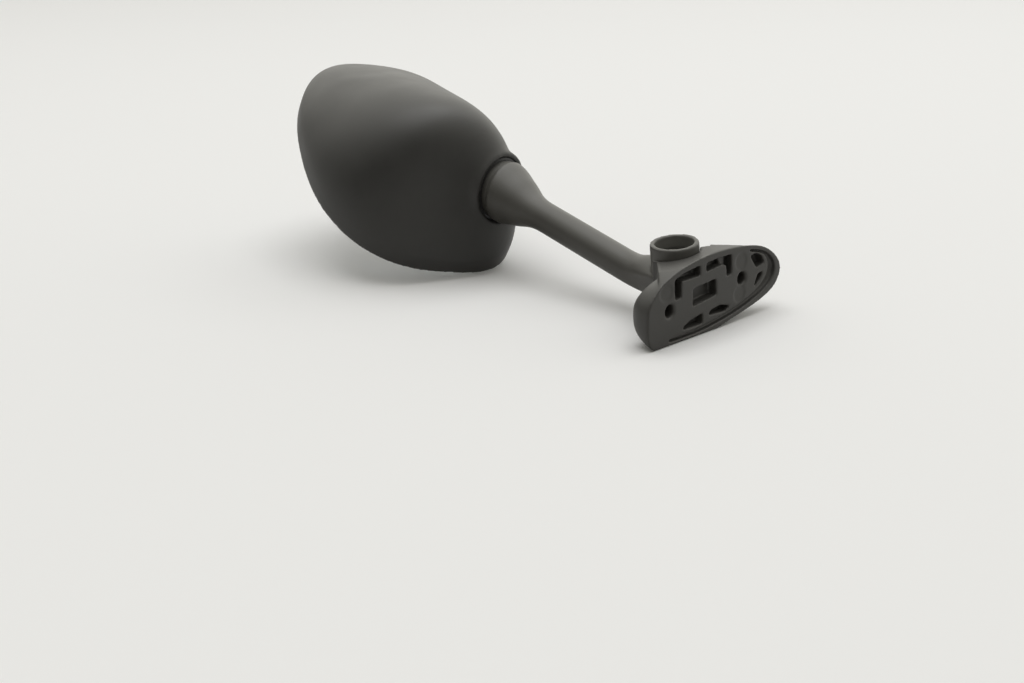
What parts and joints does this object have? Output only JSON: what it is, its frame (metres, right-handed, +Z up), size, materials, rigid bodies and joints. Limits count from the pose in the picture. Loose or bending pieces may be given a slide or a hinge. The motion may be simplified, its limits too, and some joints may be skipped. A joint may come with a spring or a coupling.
{
  "type": "motorcycle mirror",
  "caption": "Folding motorcycle mirror: a stud-mounted foot, a cast arm on a sprung fold pivot, and a teardrop head with convex glass on a ball joint.",
  "frame": {"origin": "on the foot's mounting face, midway between the axes of its stud holes", "axes": "+X along the foot's long side, +Y from the mounting face to the head, +Z up as the mirror rests on the foot's straight edge and the head's rim"},
  "size_m": [0.115, 0.2657, 0.087],
  "materials": {
    "base_foot": "satin black coated die casting",
    "arm": "satin black coated die casting",
    "head_shell": "fine grained black moulding",
    "fold_bolt": "zinc plated",
    "fold_washer": "zinc plated",
    "fold_spring": "spring steel",
    "fold_friction_washer": "natural nylon",
    "neck_stud": "zinc plated",
    "neck_lock_nut": "zinc plated",
    "neck_washer": "zinc plated",
    "neck_disc_spring_inner": "phosphated spring steel",
    "neck_disc_spring_outer": "phosphated spring steel",
    "neck_pressure_cup": "pressed steel",
    "neck_liner": "black acetal",
    "mirror_glass": "silvered convex glass",
    "adhesive_pad": "foam tape",
    "glass_carrier": "black moulding",
    "carrier_screw_1": "zinc plated",
    "carrier_screw_2": "zinc plated",
    "carrier_screw_3": "zinc plated",
    "carrier_screw_4": "zinc plated"
  },
  "bodies": {
    "foot": {"base_foot": "base_foot", "fold_bolt": "fold_bolt", "fold_washer": "fold_washer", "fold_spring": "fold_spring", "fold_friction_washer": "fold_friction_washer"},
    "arm": {"arm": "arm", "neck_stud": "neck_stud", "neck_lock_nut": "neck_lock_nut", "neck_washer": "neck_washer", "neck_disc_spring_inner": "neck_disc_spring_inner", "neck_disc_spring_outer": "neck_disc_spring_outer"},
    "neck_cup": {"neck_pressure_cup": "neck_pressure_cup"},
    "neck_lining": {"neck_liner": "neck_liner"},
    "head": {"head_shell": "head_shell", "mirror_glass": "mirror_glass", "adhesive_pad": "adhesive_pad", "glass_carrier": "glass_carrier", "carrier_screw_1": "carrier_screw_1", "carrier_screw_2": "carrier_screw_2", "carrier_screw_3": "carrier_screw_3", "carrier_screw_4": "carrier_screw_4"}
  },
  "joints": [
    {"name": "arm_fold", "type": "hinge", "parent": "foot", "child": "arm", "pos_m": [0.0022, 0.018, 0], "axis": [-0.1132, 0, 0.9936], "range_deg": [-45, 0]},
    {"name": "head_twist", "type": "hinge", "parent": "arm", "child": "neck_cup", "pos_m": [0.00723, 0.1291, 0.02303], "axis": [-0.1294, 0.983, 0.1305], "range_deg": [-10, 10]},
    {"name": "head_pan", "type": "hinge", "parent": "neck_cup", "child": "neck_lining", "pos_m": [0.00723, 0.1291, 0.02303], "axis": [0.017, -0.1294, 0.9914], "range_deg": [-4, 4]},
    {"name": "head_tilt", "type": "hinge", "parent": "neck_lining", "child": "head", "pos_m": [0.00723, 0.1291, 0.02303], "axis": [0.9914, 0.1305, 0], "range_deg": [-4, 4]}
  ]
}
